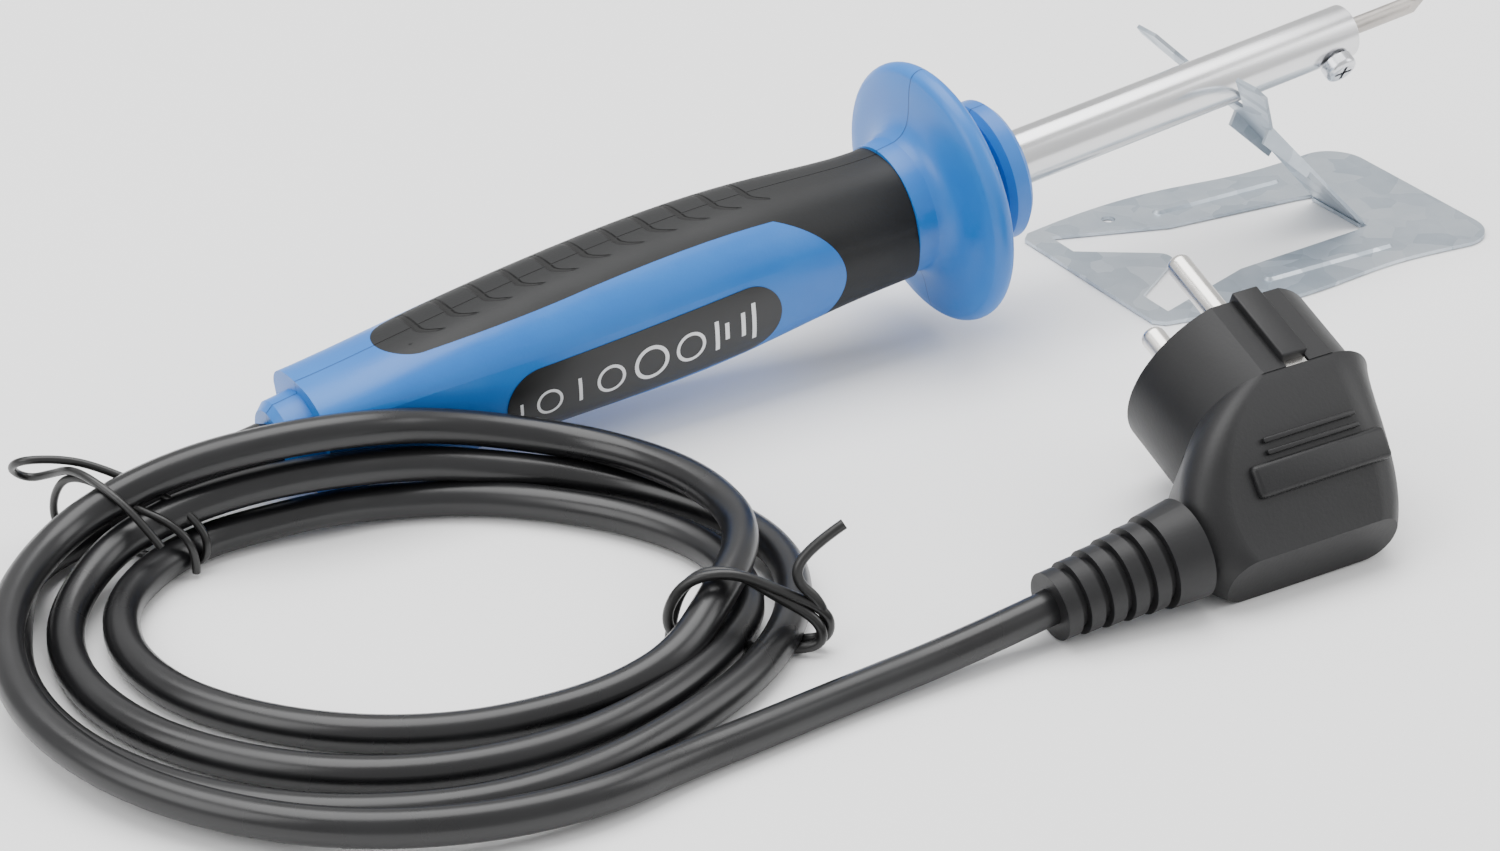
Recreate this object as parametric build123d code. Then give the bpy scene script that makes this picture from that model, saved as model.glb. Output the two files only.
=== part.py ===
from build123d import *
import os
from math import atan2, cos, pi, radians, sin, sqrt, tan

# A mains soldering iron lying on its pressed sheet stand, with its cord coiled beside the handle.
# Millimetres. +X runs from the cord towards the tip, +Y to the left of the handle, +Z up, and the
# origin is on the floor under the middle of the iron and stand.
# Iron pieces are drawn in the iron's own axes first: X along the barrel with 0 where the barrel
# crosses the stand's fork, Y to the left, Z up. "at" values below are places along that X.

os.makedirs("parts", exist_ok=True)

# ---- how the iron lies ----
FORK_X = 94.0           # where the barrel crosses the fork
AXIS_HEIGHT = 38.2      # height of the barrel's axis there
SLOPE = 7.26            # degrees the barrel rises towards the tip

# ---- barrel and tip ----
TUBE_R = 5.65
TUBE_WALL = 0.45
TUBE_FRONT = 33.0
TUBE_REAR = -66.0
TIP_R = 1.825
TIP_END = 54.4
TIP_TAPER = 46.8
TIP_REAR = -14.0
TIP_BORE_R = 1.9
SCREW_AT = 27.0
SCREW_ANGLE = 33.0      # degrees below the right-hand side
SCREW_R = 2.0
SCREW_HEAD_R = 3.5
SCREW_HEAD_H = 3.0

# ---- handle ----
COLLAR_FRONT = -54.5
COLLAR_R = 14.4
NECK_R = 11.7
FLANGE_R = 26.7
LIP_REAR = -81.0
NOSE_REAR = -213.0
GRIP_THICKNESS = 1.6
SHELL_WALL = 2.0
BOOT_NECK_R = 4.9

BOOT_RADII = [          # share of the boot's path, and radius there
    (0.0, BOOT_NECK_R), (0.1, BOOT_NECK_R), (0.19, BOOT_NECK_R), (0.23, 5.6),
    (0.4, 5.35), (0.6, 5.05), (0.8, 4.7), (1.0, 4.35),
]
BOSSES = [(-92.0, -7.4), (-145.0, 10.0), (-172.0, -7.6)]   # shell screws, at and height
BOSS_R = 2.9
SHELL_SCREW_R = 1.25
SHELL_HEAD_R = 2.4
HEAD_SEAT = 6.0
LABEL_LENGTH = 58.7
LABEL_HEIGHT = 15.0
LABEL_AT = -142.6
LABEL_Z = -3.5
LABEL_THICKNESS = 0.15
BLOCK_FRONT = -108.0    # wire connector block
BLOCK_REAR = -130.0

# handle sections: at, top, bottom, half width, height of the crease on the flank
SECTIONS = [
    (-80.0, 12.6, 12.9, 12.7, 0.5),
    (-92.0, 13.1, 13.1, 13.0, 1.5),
    (-105.0, 14.5, 13.8, 13.8, 3.5),
    (-122.0, 15.7, 15.1, 14.4, 5.2),
    (-140.0, 15.9, 15.0, 14.5, 5.5),
    (-160.0, 15.2, 13.9, 14.0, 5.8),
    (-180.0, 13.8, 12.9, 12.9, 6.4),
    (-196.0, 12.4, 12.3, 11.9, 6.6),
    (-206.5, 11.8, 12.0, 11.3, 6.6),
]

# ---- stand ----
SHEET = 0.8
PLATE_REAR = -30.0      # along X from the point under FORK_X
PLATE_FRONT = 57.5
FOLD_AT = 36.0
FOLD_ANGLE = 46.7
STEM_ROOT = 8.0         # half widths of the fork's stem
STEM_NECK = 5.9
NECK_AT = 37.0
ARM_END = 60.8
ARM_OUTER = 20.7
V_HALF_ANGLE = 33.5
BEAD_HEIGHT = 0.65
WING_FOOT = 21.5        # where the stem's turned-down edges begin
ARM_SPLIT = 0.6         # the arms begin this far below the V's point

# ---- cord ----
CORD_D = 6.5
BOOT_END = (-150.0, 0.0, 5.1)
COIL_X = -115.0
COIL_Y = -51.0
COIL_TURN = -30.9       # degrees the coil's long way is turned from +X
COIL_HEIGHT = 24.4
TIES = {"left": (157.0, 53.4), "right": (-8.0, 57.8)}    # degrees round the coil, reach from its middle
TIE = 1.4
TIE_SPAN = 27.0
TIE_HEIGHT = 23.5
LEAD_ROUTE = [
    BOOT_END,
    (-156.0, 0.0, 3.5),
    (-163.5, -2.6, 3.3),
    (-169.6, -8.4, 3.25),
]
TAIL_ROUTE = [
    (-99.0, -116.6, 3.25),
    (-84.0, -115.2, 3.25),
    (-66.0, -113.2, 3.3),
    (-42.0, -112.0, 4.1),
    (-23.6, -111.4, 6.4),
]

# ---- plug ----
PIN_R = 2.4
PIN_LENGTH = 19.0
PIN_SPACING = 19.0
PIN_NECK_R = 2.0        # the pin's shank inside the plug, and the groove at its root
PIN_GROOVE = 0.4
PLUG_FACE = (35.3, -79.5, 22.9)
PLUG_TILT = 21.0        # degrees the pins point up
INSERT_DEPTH = 17.0
INSERT_HALF = 18.0
INSERT_R = 19.5


def lay(shape):
    """Moves a piece from the iron's own axes to where the iron lies."""
    return Pos(FORK_X, 0, AXIS_HEIGHT) * Rot(0, -SLOPE, 0) * shape


def turned(points):
    """A solid turned about the iron's axis from (at, radius) points."""
    outline = Polyline(*[(at, 0, r) for at, r in points], close=True)
    return revolve(make_face(outline), axis=Axis.X)


def rod(r, start, end, y=0.0, z=0.0):
    """A plain round bar along the iron's axis."""
    length = abs(end - start)
    middle = (start + end) / 2
    return Pos(middle, y, z) * Rot(0, 90, 0) * Cylinder(r, length)


def pipe(outer, inner, start, end):
    return rod(outer, start, end) - rod(inner, start - 1, end + 1)


def section_face(station, inset):
    """One closed handle section: an upper and a lower curve that meet at the flank creases."""
    at, top, bottom, width, crease = station
    t, b, w = top - inset, bottom - inset, width - inset
    c = crease
    upper = Spline(
        (at, w, c),
        (at, w * 0.86, c + (t - c) * 0.52),
        (at, w * 0.50, t - (t - c) * 0.10),
        (at, 0, t),
        (at, -w * 0.50, t - (t - c) * 0.10),
        (at, -w * 0.86, c + (t - c) * 0.52),
        (at, -w, c),
    )
    lower = Spline(
        (at, -w, c),
        (at, -w * 0.985, c - (b + c) * 0.40),
        (at, -w * 0.80, c - (b + c) * 0.78),
        (at, 0, -b),
        (at, w * 0.80, c - (b + c) * 0.78),
        (at, w * 0.985, c - (b + c) * 0.40),
        (at, w, c),
    )
    return make_face([upper, lower])


def handle_form(inset, stations):
    return loft([section_face(station, inset) for station in stations])


def guard_form():
    """Collar, neck, hand guard flange and rear lip, turned in one outline."""
    outline = [
        Line((COLLAR_FRONT, 0, 0), (COLLAR_FRONT, 0, COLLAR_R - 1.2)),
        Line((COLLAR_FRONT, 0, COLLAR_R - 1.2), (COLLAR_FRONT - 1.2, 0, COLLAR_R)),
        Line((COLLAR_FRONT - 1.2, 0, COLLAR_R), (-58.8, 0, COLLAR_R)),
        Line((-58.8, 0, COLLAR_R), (-60.0, 0, COLLAR_R - 1.2)),
        Line((-60.0, 0, COLLAR_R - 1.2), (-60.0, 0, NECK_R)),
        Spline((-60.0, 0, NECK_R), (-62.8, 0, 13.2), (-65.6, 0, 18.5), (-67.6, 0, FLANGE_R - 1.2)),
        Spline((-67.6, 0, FLANGE_R - 1.2), (-68.6, 0, FLANGE_R - 0.2), (-70.4, 0, FLANGE_R - 0.1),
               (-72.0, 0, FLANGE_R - 1.8)),
        Spline((-72.0, 0, FLANGE_R - 1.8), (-72.9, 0, 20.0), (-74.2, 0, 15.6), (-77.0, 0, 13.7)),
        Line((-77.0, 0, 13.7), (LIP_REAR, 0, 13.3)),
        Line((LIP_REAR, 0, 13.3), (LIP_REAR, 0, 0)),
        Line((LIP_REAR, 0, 0), (COLLAR_FRONT, 0, 0)),
    ]
    return revolve(make_face(outline), axis=Axis.X)


def grip_region():
    """Where the soft grip covers the shell: a front sleeve and a strip along the top."""
    front = [
        Line((-70, 0, 30), (-116.5, 0, 30)),
        Line((-116.5, 0, 30), (-116.5, 0, 14.5)),
        Spline((-116.5, 0, 14.5), (-109.0, 0, 11.9), (-103.0, 0, 7.8), (-99.3, 0, 2.8),
               (-98.2, 0, -2.5), (-100.4, 0, -8.2), (-106.5, 0, -15.5)),
        Line((-106.5, 0, -15.5), (-106.5, 0, -30)),
        Line((-106.5, 0, -30), (-70, 0, -30)),
        Line((-70, 0, -30), (-70, 0, 30)),
    ]
    sleeve = extrude(make_face(front), amount=40, dir=(0, 1, 0), both=True)
    strip_rear = -183.0
    strip = [
        Line((-105, 9.4, 0), (-150, 9.4, 0)),
        Spline((-150, 9.4, 0), (-168, 9.0, 0), (strip_rear, 7.6, 0)),
        ThreePointArc((strip_rear, 7.6, 0), (-190.2, 0, 0), (strip_rear, -7.6, 0)),
        Spline((strip_rear, -7.6, 0), (-168, -9.0, 0), (-150, -9.4, 0)),
        Line((-150, -9.4, 0), (-105, -9.4, 0)),
        Line((-105, -9.4, 0), (-105, 9.4, 0)),
    ]
    top = Pos(0, 0, 6) * extrude(make_face(strip), amount=20, dir=(0, 0, 1))
    return sleeve + top


def across(r, at, height, start, end):
    """A round bar along Y."""
    return Pos(at, (start + end) / 2, height) * Rot(90, 0, 0) * Cylinder(r, abs(end - start))


def handle_pieces():
    region = grip_region()
    outer = handle_form(0, SECTIONS)
    under = handle_form(GRIP_THICKNESS, SECTIONS)
    inner = handle_form(GRIP_THICKNESS + SHELL_WALL, SECTIONS[:-1])
    grip = (outer & region) - under - rod(40, LIP_REAR, -70)
    nose = turned_nose()
    shell = (outer - region) + under + guard_form() + nose
    shell -= rod(TUBE_R + 0.05, -40, -64)
    shell -= rod(9.2, -64, -84)
    shell -= inner
    shell -= rod(BOOT_NECK_R + 0.1, -190, -220)
    bosses = [across(BOSS_R, at, height, -30, 30) for at, height in BOSSES]
    for boss in bosses:
        shell += boss & under
    for at, height in BOSSES:
        shell -= across(SHELL_SCREW_R + 0.05, at, height, -9, 9)
        shell -= across(SHELL_HEAD_R + 0.2, at, height, HEAD_SEAT, 40)
        grip -= across(SHELL_HEAD_R + 0.2, at, height, HEAD_SEAT, 40)
    left = Pos(-140, 50, 0) * Box(300, 100, 100)
    right = Pos(-140, -50, 0) * Box(300, 100, 100)
    return {
        "handle_shell_left": shell & left,
        "handle_shell_right": shell & right,
        "grip_left": grip & left,
        "grip_right": grip & right,
        "rating_label": label(outer),
    }


def turned_nose():
    points = [(-203, 0), (-203, 9.6), (-211.5, 8.9), (NOSE_REAR, 7.6), (NOSE_REAR, 0)]
    return turned(points)


def label(outer):
    """A thin rating label on the right-hand flank."""
    skin = handle_form(-LABEL_THICKNESS, SECTIONS) - outer
    straight = LABEL_LENGTH - LABEL_HEIGHT
    shape = Box(straight, 20, LABEL_HEIGHT)
    shape += Pos(straight / 2, 0, 0) * Rot(90, 0, 0) * Cylinder(LABEL_HEIGHT / 2, 20)
    shape += Pos(-straight / 2, 0, 0) * Rot(90, 0, 0) * Cylinder(LABEL_HEIGHT / 2, 20)
    return skin & (Pos(LABEL_AT, -12, LABEL_Z) * shape)


def shell_screws():
    screws = []
    for at, height in BOSSES:
        shank = across(SHELL_SCREW_R, at, height, -8.9, HEAD_SEAT)
        head = across(SHELL_HEAD_R, at, height, HEAD_SEAT, HEAD_SEAT + 1.8)
        cross = Pos(at, HEAD_SEAT + 1.6, height) * (Box(3, 1.2, 0.7) + Box(0.7, 1.2, 3))
        screws.append(shank + head - cross)
    return screws


def screw_frame():
    """Axes at the set screw: Z outward along the screw."""
    down = radians(SCREW_ANGLE)
    return Plane(origin=(SCREW_AT, 0, 0), x_dir=(1, 0, 0), z_dir=(0, -cos(down), -sin(down)))


def radial_bar(r, start, end):
    return screw_frame() * Pos(0, 0, (start + end) / 2) * Cylinder(r, end - start)


def set_screw():
    under_head = TUBE_R + 0.35
    shank = radial_bar(SCREW_R, TIP_R + 0.3, under_head + 0.5)
    head = radial_bar(SCREW_HEAD_R, under_head, under_head + SCREW_HEAD_H)
    head = fillet(head.edges().group_by(Axis(origin=(0, 0, 0), direction=screw_frame().z_dir))[-1], 1.1)
    top = under_head + SCREW_HEAD_H
    cross = Box(4.2, 0.8, 3) + Box(0.8, 4.2, 3)
    return shank + head - screw_frame() * Pos(0, 0, top) * cross


def barrel_pieces():
    bore = TUBE_R - TUBE_WALL
    tube = pipe(TUBE_R, bore, TUBE_REAR, TUBE_FRONT)
    tube = fillet(tube.edges().group_by(Axis.X)[-1], 0.18)
    tube -= radial_bar(2.9, 2, 12)
    bush = pipe(bore - 0.04, TIP_BORE_R, 12, 31.2) - radial_bar(SCREW_R + 0.05, 1, 12)
    tip = rod(TIP_R, TIP_REAR, TIP_END) & tip_envelope()
    winding_points = [(4, 3.1)]
    turns = 16
    pitch = 40.0 / turns
    for turn in range(turns):
        at = 4 - turn * pitch
        winding_points += [(at - 0.2, 3.7), (at - pitch + 0.4, 3.7), (at - pitch, 3.4)]
    winding_points += [(-36.0, 3.1)]
    rear = rod(bore - 0.04, -62, -48)
    rear -= rod(0.75, -40, -70, 2.6) + rod(0.75, -40, -70, -2.6)
    flange = pipe(8.9, TUBE_R + 0.01, -66.0, -64.6)
    baffle = pipe(8.8, 1.6, -74.0, -73.2) - rod(0.95, -80, -70, 2.6) - rod(0.95, -80, -70, -2.6)
    baffle -= rod(0.95, -80, -70, 0, 6.6)
    return {
        "barrel_tube": tube,
        "tip_bush": bush,
        "tip": tip,
        "bit_sleeve": pipe(2.5, TIP_BORE_R + 0.05, -47.5, 11.5),
        "inner_mica": pipe(3.05, 2.52, -40, 8),
        "heater_winding": turned(winding_points),
        "outer_mica": pipe(4.4, 3.74, -40, 8),
        "rear_bush": rear,
        "tube_flange": flange,
        "heat_baffle": baffle,
    }


def tip_envelope():
    """The tip's shank, ground to four flats that meet in a point."""
    shank = Pos((TIP_REAR + TIP_TAPER) / 2, 0, 0) * Box(TIP_TAPER - TIP_REAR, 8, 8)
    root = Plane(origin=(TIP_TAPER, 0, 0), x_dir=(0, 1, 0), z_dir=(1, 0, 0)) * Rectangle(5.2, 5.2)
    point = Plane(origin=(TIP_END, 0, 0), x_dir=(0, 1, 0), z_dir=(1, 0, 0)) * Rectangle(0.3, 0.3)
    return shank + loft([root, point])


def wiring():
    """Leads from the heater, the connector block and the cord's three cores."""
    ways = (-5.2, 0.0, 5.2)
    block = Pos((BLOCK_FRONT + BLOCK_REAR) / 2, 0, 0) * Box(BLOCK_FRONT - BLOCK_REAR, 16.4, 7.0)
    for y in ways:
        block -= rod(1.3, BLOCK_FRONT + 1, BLOCK_REAR - 1, y)
        for at in (-112.5, -125.5):
            block -= Pos(at, y, 2.5) * Cylinder(1.15, 5)
    screws = []
    for y in ways:
        for at in (-112.5, -125.5):
            screw = Pos(at, y, 2.75) * Cylinder(1.1, 2.6)
            screws.append(screw - Pos(at, y, 4.0) * Box(2.4, 0.4, 1.0))

    def lead(start_y, start_z, end_y, start):
        points = [(start, start_y, start_z), (-84, start_y, start_z), (-100, end_y, 0), (-117, end_y, 0)]
        path = FilletPolyline(*points, radius=6)
        return sweep(Plane(origin=path @ 0, z_dir=path % 0) * Circle(0.7), path=path)

    def core(y, z):
        start_y, start_z = y * 0.3, z
        points = [(-120.6, y, 0), (-134, y, 0), (-148, start_y, start_z), (-158, start_y, start_z)]
        path = FilletPolyline(*points, radius=6)
        return sweep(Plane(origin=path @ 0, z_dir=path % 0) * Circle(0.95), path=path)

    return {
        "terminal_block": block,
        "terminal_screws": screws,
        "live_lead": lead(2.6, 0, 5.2, -61.9),
        "neutral_lead": lead(-2.6, 0, -5.2, -61.9),
        "earth_lead": lead(0, 6.6, 0, -66.1),
        "live_core": core(5.2, -0.8),
        "neutral_core": core(-5.2, -0.8),
        "earth_core": core(0, 1.4),
    }


def cord_clamp():
    bar = Pos(-182, 0, 4.9) * Box(6, 17, 2.4) - rod(CORD_D / 2 + 0.02, -175, -190)
    for y in (-6.2, 6.2):
        bar -= Pos(-182, y, 4.9) * Cylinder(1.35, 6)
    screws = []
    for y in (-6.2, 6.2):
        shank = Pos(-182, y, 2.5) * Cylinder(1.3, 7.2)
        head = Pos(-182, y, 6.85) * Cylinder(2.1, 1.5)
        screws.append(shank + head)
    return bar, screws


def on_axis(at):
    """A point of the iron's axis, as the iron lies."""
    return Vector(FORK_X + at * cos(radians(SLOPE)), 0, AXIS_HEIGHT + at * sin(radians(SLOPE)))


def boot_path():
    """Straight out of the nose, then one arc down to the cord's way out."""
    start, root, end = on_axis(-205.0), on_axis(-216.0), Vector(*BOOT_END)
    return Wire([Line(start, root), TangentArc(root, end, tangent=root - start)])


def boot():
    path = boot_path()
    faces = []
    for share, radius in BOOT_RADII:
        plane = Plane(origin=path @ share, z_dir=path % share)
        faces.append(plane * Circle(radius))
    body = loft(faces, ruled=True)
    bore = sweep(Plane(origin=path @ 0, z_dir=path % 0) * Circle(CORD_D / 2 + 0.02), path=path)
    return body - bore


def inner_cord():
    """The cord's jacket from the clamp to the boot's end."""
    path = boot_path()
    curved = sweep(Plane(origin=path @ 0, z_dir=path % 0) * Circle(CORD_D / 2), path=path)
    return curved + lay(rod(CORD_D / 2, -160, -205))


# ---- stand ----

def plate():
    side = [(-24, 25.2), (-8, 27.6), (8, 27.9), (20, 26.6), (31, 25.7), (44, 26.4)]
    rear, front = PLATE_REAR, PLATE_FRONT
    upper = Spline((rear + 2, 24.4), *side, (front - 8, 26.9))
    lower = Spline((rear + 2, -24.4), *[(x, -y) for x, y in side], (front - 8, -26.9))
    outline = [
        upper,
        Line((rear + 2, 24.4), (rear, 22.4)),
        Line((rear, 22.4), (rear, -22.4)),
        Line((rear, -22.4), (rear + 2, -24.4)),
        lower,
        ThreePointArc((front - 8, -26.9), (front - 2.4, -24.5), (front, -19)),
        Line((front, -19), (front, 19)),
        ThreePointArc((front, 19), (front - 2.4, 24.5), (front - 8, 26.9)),
    ]
    sheet = extrude(make_face(outline), amount=SHEET)
    sheet -= extrude(make_face(cut_out()), amount=3 * SHEET, both=True)
    sheet -= Pos(-9.2, 21.4, 0) * Cylinder(1.5, 4)
    for y in (-19, 19):
        sheet += Pos(17.5, y, SHEET) * extrude(SlotOverall(33.5, 2.8), amount=BEAD_HEIGHT, taper=40)
    return sheet


def cut_out():
    """The opening that the fork was folded out of, with the pointed tongue left in it."""
    tongue_root = FOLD_AT - ARM_END
    point = tongue_root + 12.2 / tan(radians(V_HALF_ANGLE))
    points = [
        (FOLD_AT, 9.2), (32, 9.9), (0, 12.4), (tongue_root, ARM_OUTER), (tongue_root, 12.2),
        (point, 0),
        (tongue_root, -12.2), (tongue_root, -ARM_OUTER), (0, -12.4), (32, -9.9), (FOLD_AT, -9.2),
    ]
    path = Polyline(*points, close=True)
    face = make_face(path)
    tip = face.vertices().sort_by_distance((point, 0, 0))[0]
    return fillet(tip, 3.0).edges()


def fork():
    """The folded-up fork's stem and two arms, drawn flat with X running up the stem from the fold."""
    v_point = v_vertex()
    half = tan(radians(V_HALF_ANGLE))
    inner = (ARM_END - v_point) * half
    points = [
        (0, STEM_ROOT), (NECK_AT, STEM_NECK), (ARM_END - 3, ARM_OUTER), (ARM_END, ARM_OUTER - 1),
        (ARM_END, inner), (v_point, 0), (ARM_END, -inner),
        (ARM_END, -ARM_OUTER + 1), (ARM_END - 3, -ARM_OUTER), (NECK_AT, -STEM_NECK), (0, -STEM_ROOT),
    ]
    face = make_face(Polyline(*points, close=True))
    bottom = face.vertices().sort_by_distance((v_point, 0, 0))[0]
    face = fillet(bottom, 3.0)
    sheet = extrude(face, amount=SHEET)
    for side in (-1, 1):
        sheet += wing(side)
    up = Plane(origin=(FOLD_AT, 0, 0), x_dir=fork_up(), z_dir=fork_normal())
    split = v_point - ARM_SPLIT
    stem = sheet & Pos(split - 50, 0, 0) * Box(100, 100, 100)
    arms = sheet & Pos(split + 50, 0, 0) * Box(100, 100, 100)
    left = arms & Pos(0, 50, 0) * Box(400, 100, 100)
    right = arms & Pos(0, -50, 0) * Box(400, 100, 100)
    return [up * stem, up * left, up * right]


def fork_up():
    lean = radians(FOLD_ANGLE)
    return (-cos(lean), 0, sin(lean))


def fork_normal():
    lean = radians(FOLD_ANGLE)
    return (sin(lean), 0, cos(lean))


def v_vertex():
    """Where the V's sides would meet, so that the barrel just rests between them."""
    lean, rise = radians(FOLD_ANGLE), radians(SLOPE)
    along = sin(lean) * cos(rise) + cos(lean) * sin(rise)
    clear_r = TUBE_R + 0.3
    reach = clear_r / along
    centre = (AXIS_HEIGHT + (FOLD_AT) * tan(rise)) / (sin(lean) + cos(lean) * tan(rise))
    half = tan(radians(V_HALF_ANGLE))
    slip = SHEET * sqrt(1 - along * along) / along
    return centre - slip - sqrt((clear_r / half) ** 2 + reach ** 2)


def wing(side):
    """A stiffening edge folded back along one side of the stem."""
    lean = atan2(STEM_ROOT - STEM_NECK, NECK_AT)
    profile = Polyline((WING_FOOT, 0), (WING_FOOT - 0.3, -1.4), (NECK_AT - 0.8, -3.0), (NECK_AT + 0.6, 0),
                       close=True)
    plane = Plane(origin=(0, side * STEM_ROOT, 0), x_dir=(cos(lean), -side * sin(lean), 0),
                  z_dir=(side * -sin(lean), -cos(lean), 0))
    return plane * extrude(make_face(profile), amount=SHEET * side, dir=(0, 0, 1))


def stand():
    """One folded sheet, in four nodes so that each keeps a simple outline: plate, stem and two arms."""
    base = plate()
    below = Pos(FOLD_AT, 0, -5) * Box(40, 100, 10)
    stem, left, right = fork()
    stem += Pos(FOLD_AT - 0.3, 0, SHEET / 2) * Box(1.6, 2 * STEM_ROOT, SHEET)
    stem = stem - below - base
    pieces = {
        "stand_plate": base,
        "stand_stem": stem,
        "stand_arm_left": left,
        "stand_arm_right": right,
    }
    return {name: Pos(FORK_X, 0, 0) * piece for name, piece in pieces.items()}


# ---- cord, coil, ties ----

def coil_frame():
    return Pos(COIL_X, COIL_Y, 0) * Rot(0, 0, COIL_TURN)


def oval(across_r, front_r, back_r):
    """A closed outline with one half ellipse towards the front and another behind."""
    def arc(depth, side, start, end):
        steps = 8
        points = []
        for step in range(steps + 1):
            angle = radians(start + (end - start) * step / steps)
            points.append((across_r * cos(angle), side * depth * abs(sin(angle))))
        return Spline(*points)
    return make_face([arc(back_r, 1, 0, 180), arc(front_r, -1, 180, 360)])


def coil():
    ring = extrude(oval(69.8, 69.3, 45.0), amount=COIL_HEIGHT)
    ring -= extrude(oval(46.2, 35.7, 27.0), amount=COIL_HEIGHT)
    ring -= front_wedge()
    ring = coil_frame() * ring
    for west, south in ((-250.0, -6.8), (-120.5, -11.9), (-104.0, -13.9), (-90.0, -15.2)):
        ring -= Pos(west, south, -1) * Box(300, 60, 60, align=(Align.MIN, Align.MIN, Align.MIN))
    for angle, reach in TIES.values():
        ring -= tie_place(angle, reach) * Box(60, 4.0, 2 * TIE + 0.2)
    return ring


def front_wedge():
    """Cuts the coil's top so that the front turns lie lower than those behind."""
    points = [(0, 12, COIL_HEIGHT), (0, -40, 10.5), (0, -90, 8.0), (0, -90, 40), (0, 12, 40)]
    profile = Polyline(*points, close=True)
    return Pos(-120, 0, 0) * extrude(make_face(profile), amount=240, dir=(1, 0, 0))


def tie_place(angle, reach):
    return coil_frame() * Rot(0, 0, angle) * Pos(reach, 0, 0)


def tie(angle, reach):
    """A twist tie drawn round the bundle, resting in a groove under it."""
    outer = Box(TIE_SPAN + 2 * TIE, 2.2, TIE_HEIGHT + 2 * TIE)
    inner = Box(TIE_SPAN, 4, TIE_HEIGHT)
    return tie_place(angle, reach) * Pos(0, 0, TIE + TIE_HEIGHT / 2) * (outer - inner)


def tube_along(points, name):
    """A cord's tube of straight runs joined by tangent arcs; prints the arcs' radii."""
    places = [Vector(*p) for p in points]
    radii = []
    for before, corner, after in zip(places, places[1:], places[2:]):
        turn = (corner - before).get_angle(after - corner)
        run = min((corner - before).length, (after - corner).length)
        radii.append(0.45 * run / tan(radians(turn) / 2))
    print(name, "arc radii", [round(r, 1) for r in radii])
    path = FilletPolyline(*places, radius=radii)
    tube = sweep(Plane(origin=path @ 0, z_dir=path % 0) * Circle(CORD_D / 2), path=path)
    share = tube.volume / (pi * CORD_D ** 2 / 4 * path.length)
    print(name, "length", round(path.length, 1), "volume over section times length", round(share, 4))
    return tube


# ---- plug ----

def plug_frame():
    """Axes on the pin face: X along the plug, Y up its face, Z out along the pins."""
    tilt = radians(PLUG_TILT)
    return Plane(origin=PLUG_FACE, x_dir=(-cos(radians(3)), sin(radians(3)) * cos(tilt), 0),
                 z_dir=(0, cos(tilt), sin(tilt)))


def plug_body():
    place = plug_frame()
    disc = Circle(INSERT_R) & Rectangle(2 * INSERT_R, 2 * INSERT_HALF)
    insert = extrude(place * disc, amount=-INSERT_DEPTH)
    hood_sections = [
        (-INSERT_DEPTH, 0.0, 0.0, 38.6, 35.6, 12.0),
        (-27.0, 6.6, 0.0, 44.0, 28.4, 9.0),
        (-37.0, 9.0, -0.6, 44.6, 17.6, 7.0),
        (-44.5, 9.0, -1.8, 36.6, 10.8, 5.0),
    ]
    faces = []
    for depth, x, y, width, height, radius in hood_sections:
        faces.append(place * Pos(x, y, depth) * RectangleRounded(width, height, radius))
    hood = loft(faces)
    relief = plug_relief()
    body = insert + hood + relief
    for side in (-1, 1):
        slot = place * Pos(0, side * INSERT_HALF, -8) * Box(5.0, 2.4, 18)
        body -= slot
    for side in (-1, 1):
        body -= place * Pos(0, side * PIN_SPACING / 2, -5) * Cylinder(PIN_NECK_R, 20)
    body -= Pos(0, 0, -50) * Box(400, 400, 100)
    return body


def plug_relief():
    """The ribbed neck where the cord enters the plug."""
    end = Vector(-23.6, -111.4, 6.4)
    root = Vector(4.0, -112.6, 10.4)
    way = root - end
    frame = Plane(origin=end, z_dir=way)
    length = way.length
    points = [(0, 0), (6.2, 0)]
    rings = 5
    pitch = 21.0 / rings
    for ring in range(rings):
        low = ring * pitch
        grow = ring * 0.45
        points += [(6.2 + grow, low + 2.8), (5.2 + grow, low + 2.9), (5.2 + grow, low + pitch)]
        if ring < rings - 1:
            points += [(6.65 + grow, low + pitch)]
    points += [(8.6, 21.0), (9.2, length), (0, length)]
    outline = Polyline(*[(x, 0, z) for x, z in points], close=True)
    return frame * revolve(make_face(outline), axis=Axis.Z)


def plug_metal():
    place = plug_frame()
    pins = []
    for side in (-1, 1):
        middle = Pos(0, side * PIN_SPACING / 2, 0)
        length = PIN_LENGTH - PIN_GROOVE
        bar = middle * Pos(0, 0, PIN_GROOVE + length / 2) * Cylinder(PIN_R - 0.01, length)
        shank = middle * Pos(0, 0, -6.0) * Cylinder(PIN_NECK_R - 0.01, 16)
        pin = place * (bar + shank)
        pins.append(fillet(pin.edges().sort_by(Axis.Y)[-1], 1.6))
    contacts = []
    for side in (-1, 1):
        contacts.append(place * Pos(0, side * (INSERT_HALF - 0.75), -8) * Box(4.6, 0.8, 17.8))
    return pins, contacts


def save(name, shapes):
    """Writes one node; a list becomes a group of separate solids."""
    if isinstance(shapes, list):
        export_step(Compound(children=shapes), f"parts/{name}.step")
        return
    solids = shapes.solids()
    whole = solids[0] if len(solids) == 1 else Compound(children=list(solids))
    export_step(whole, f"parts/{name}.step")


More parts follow.
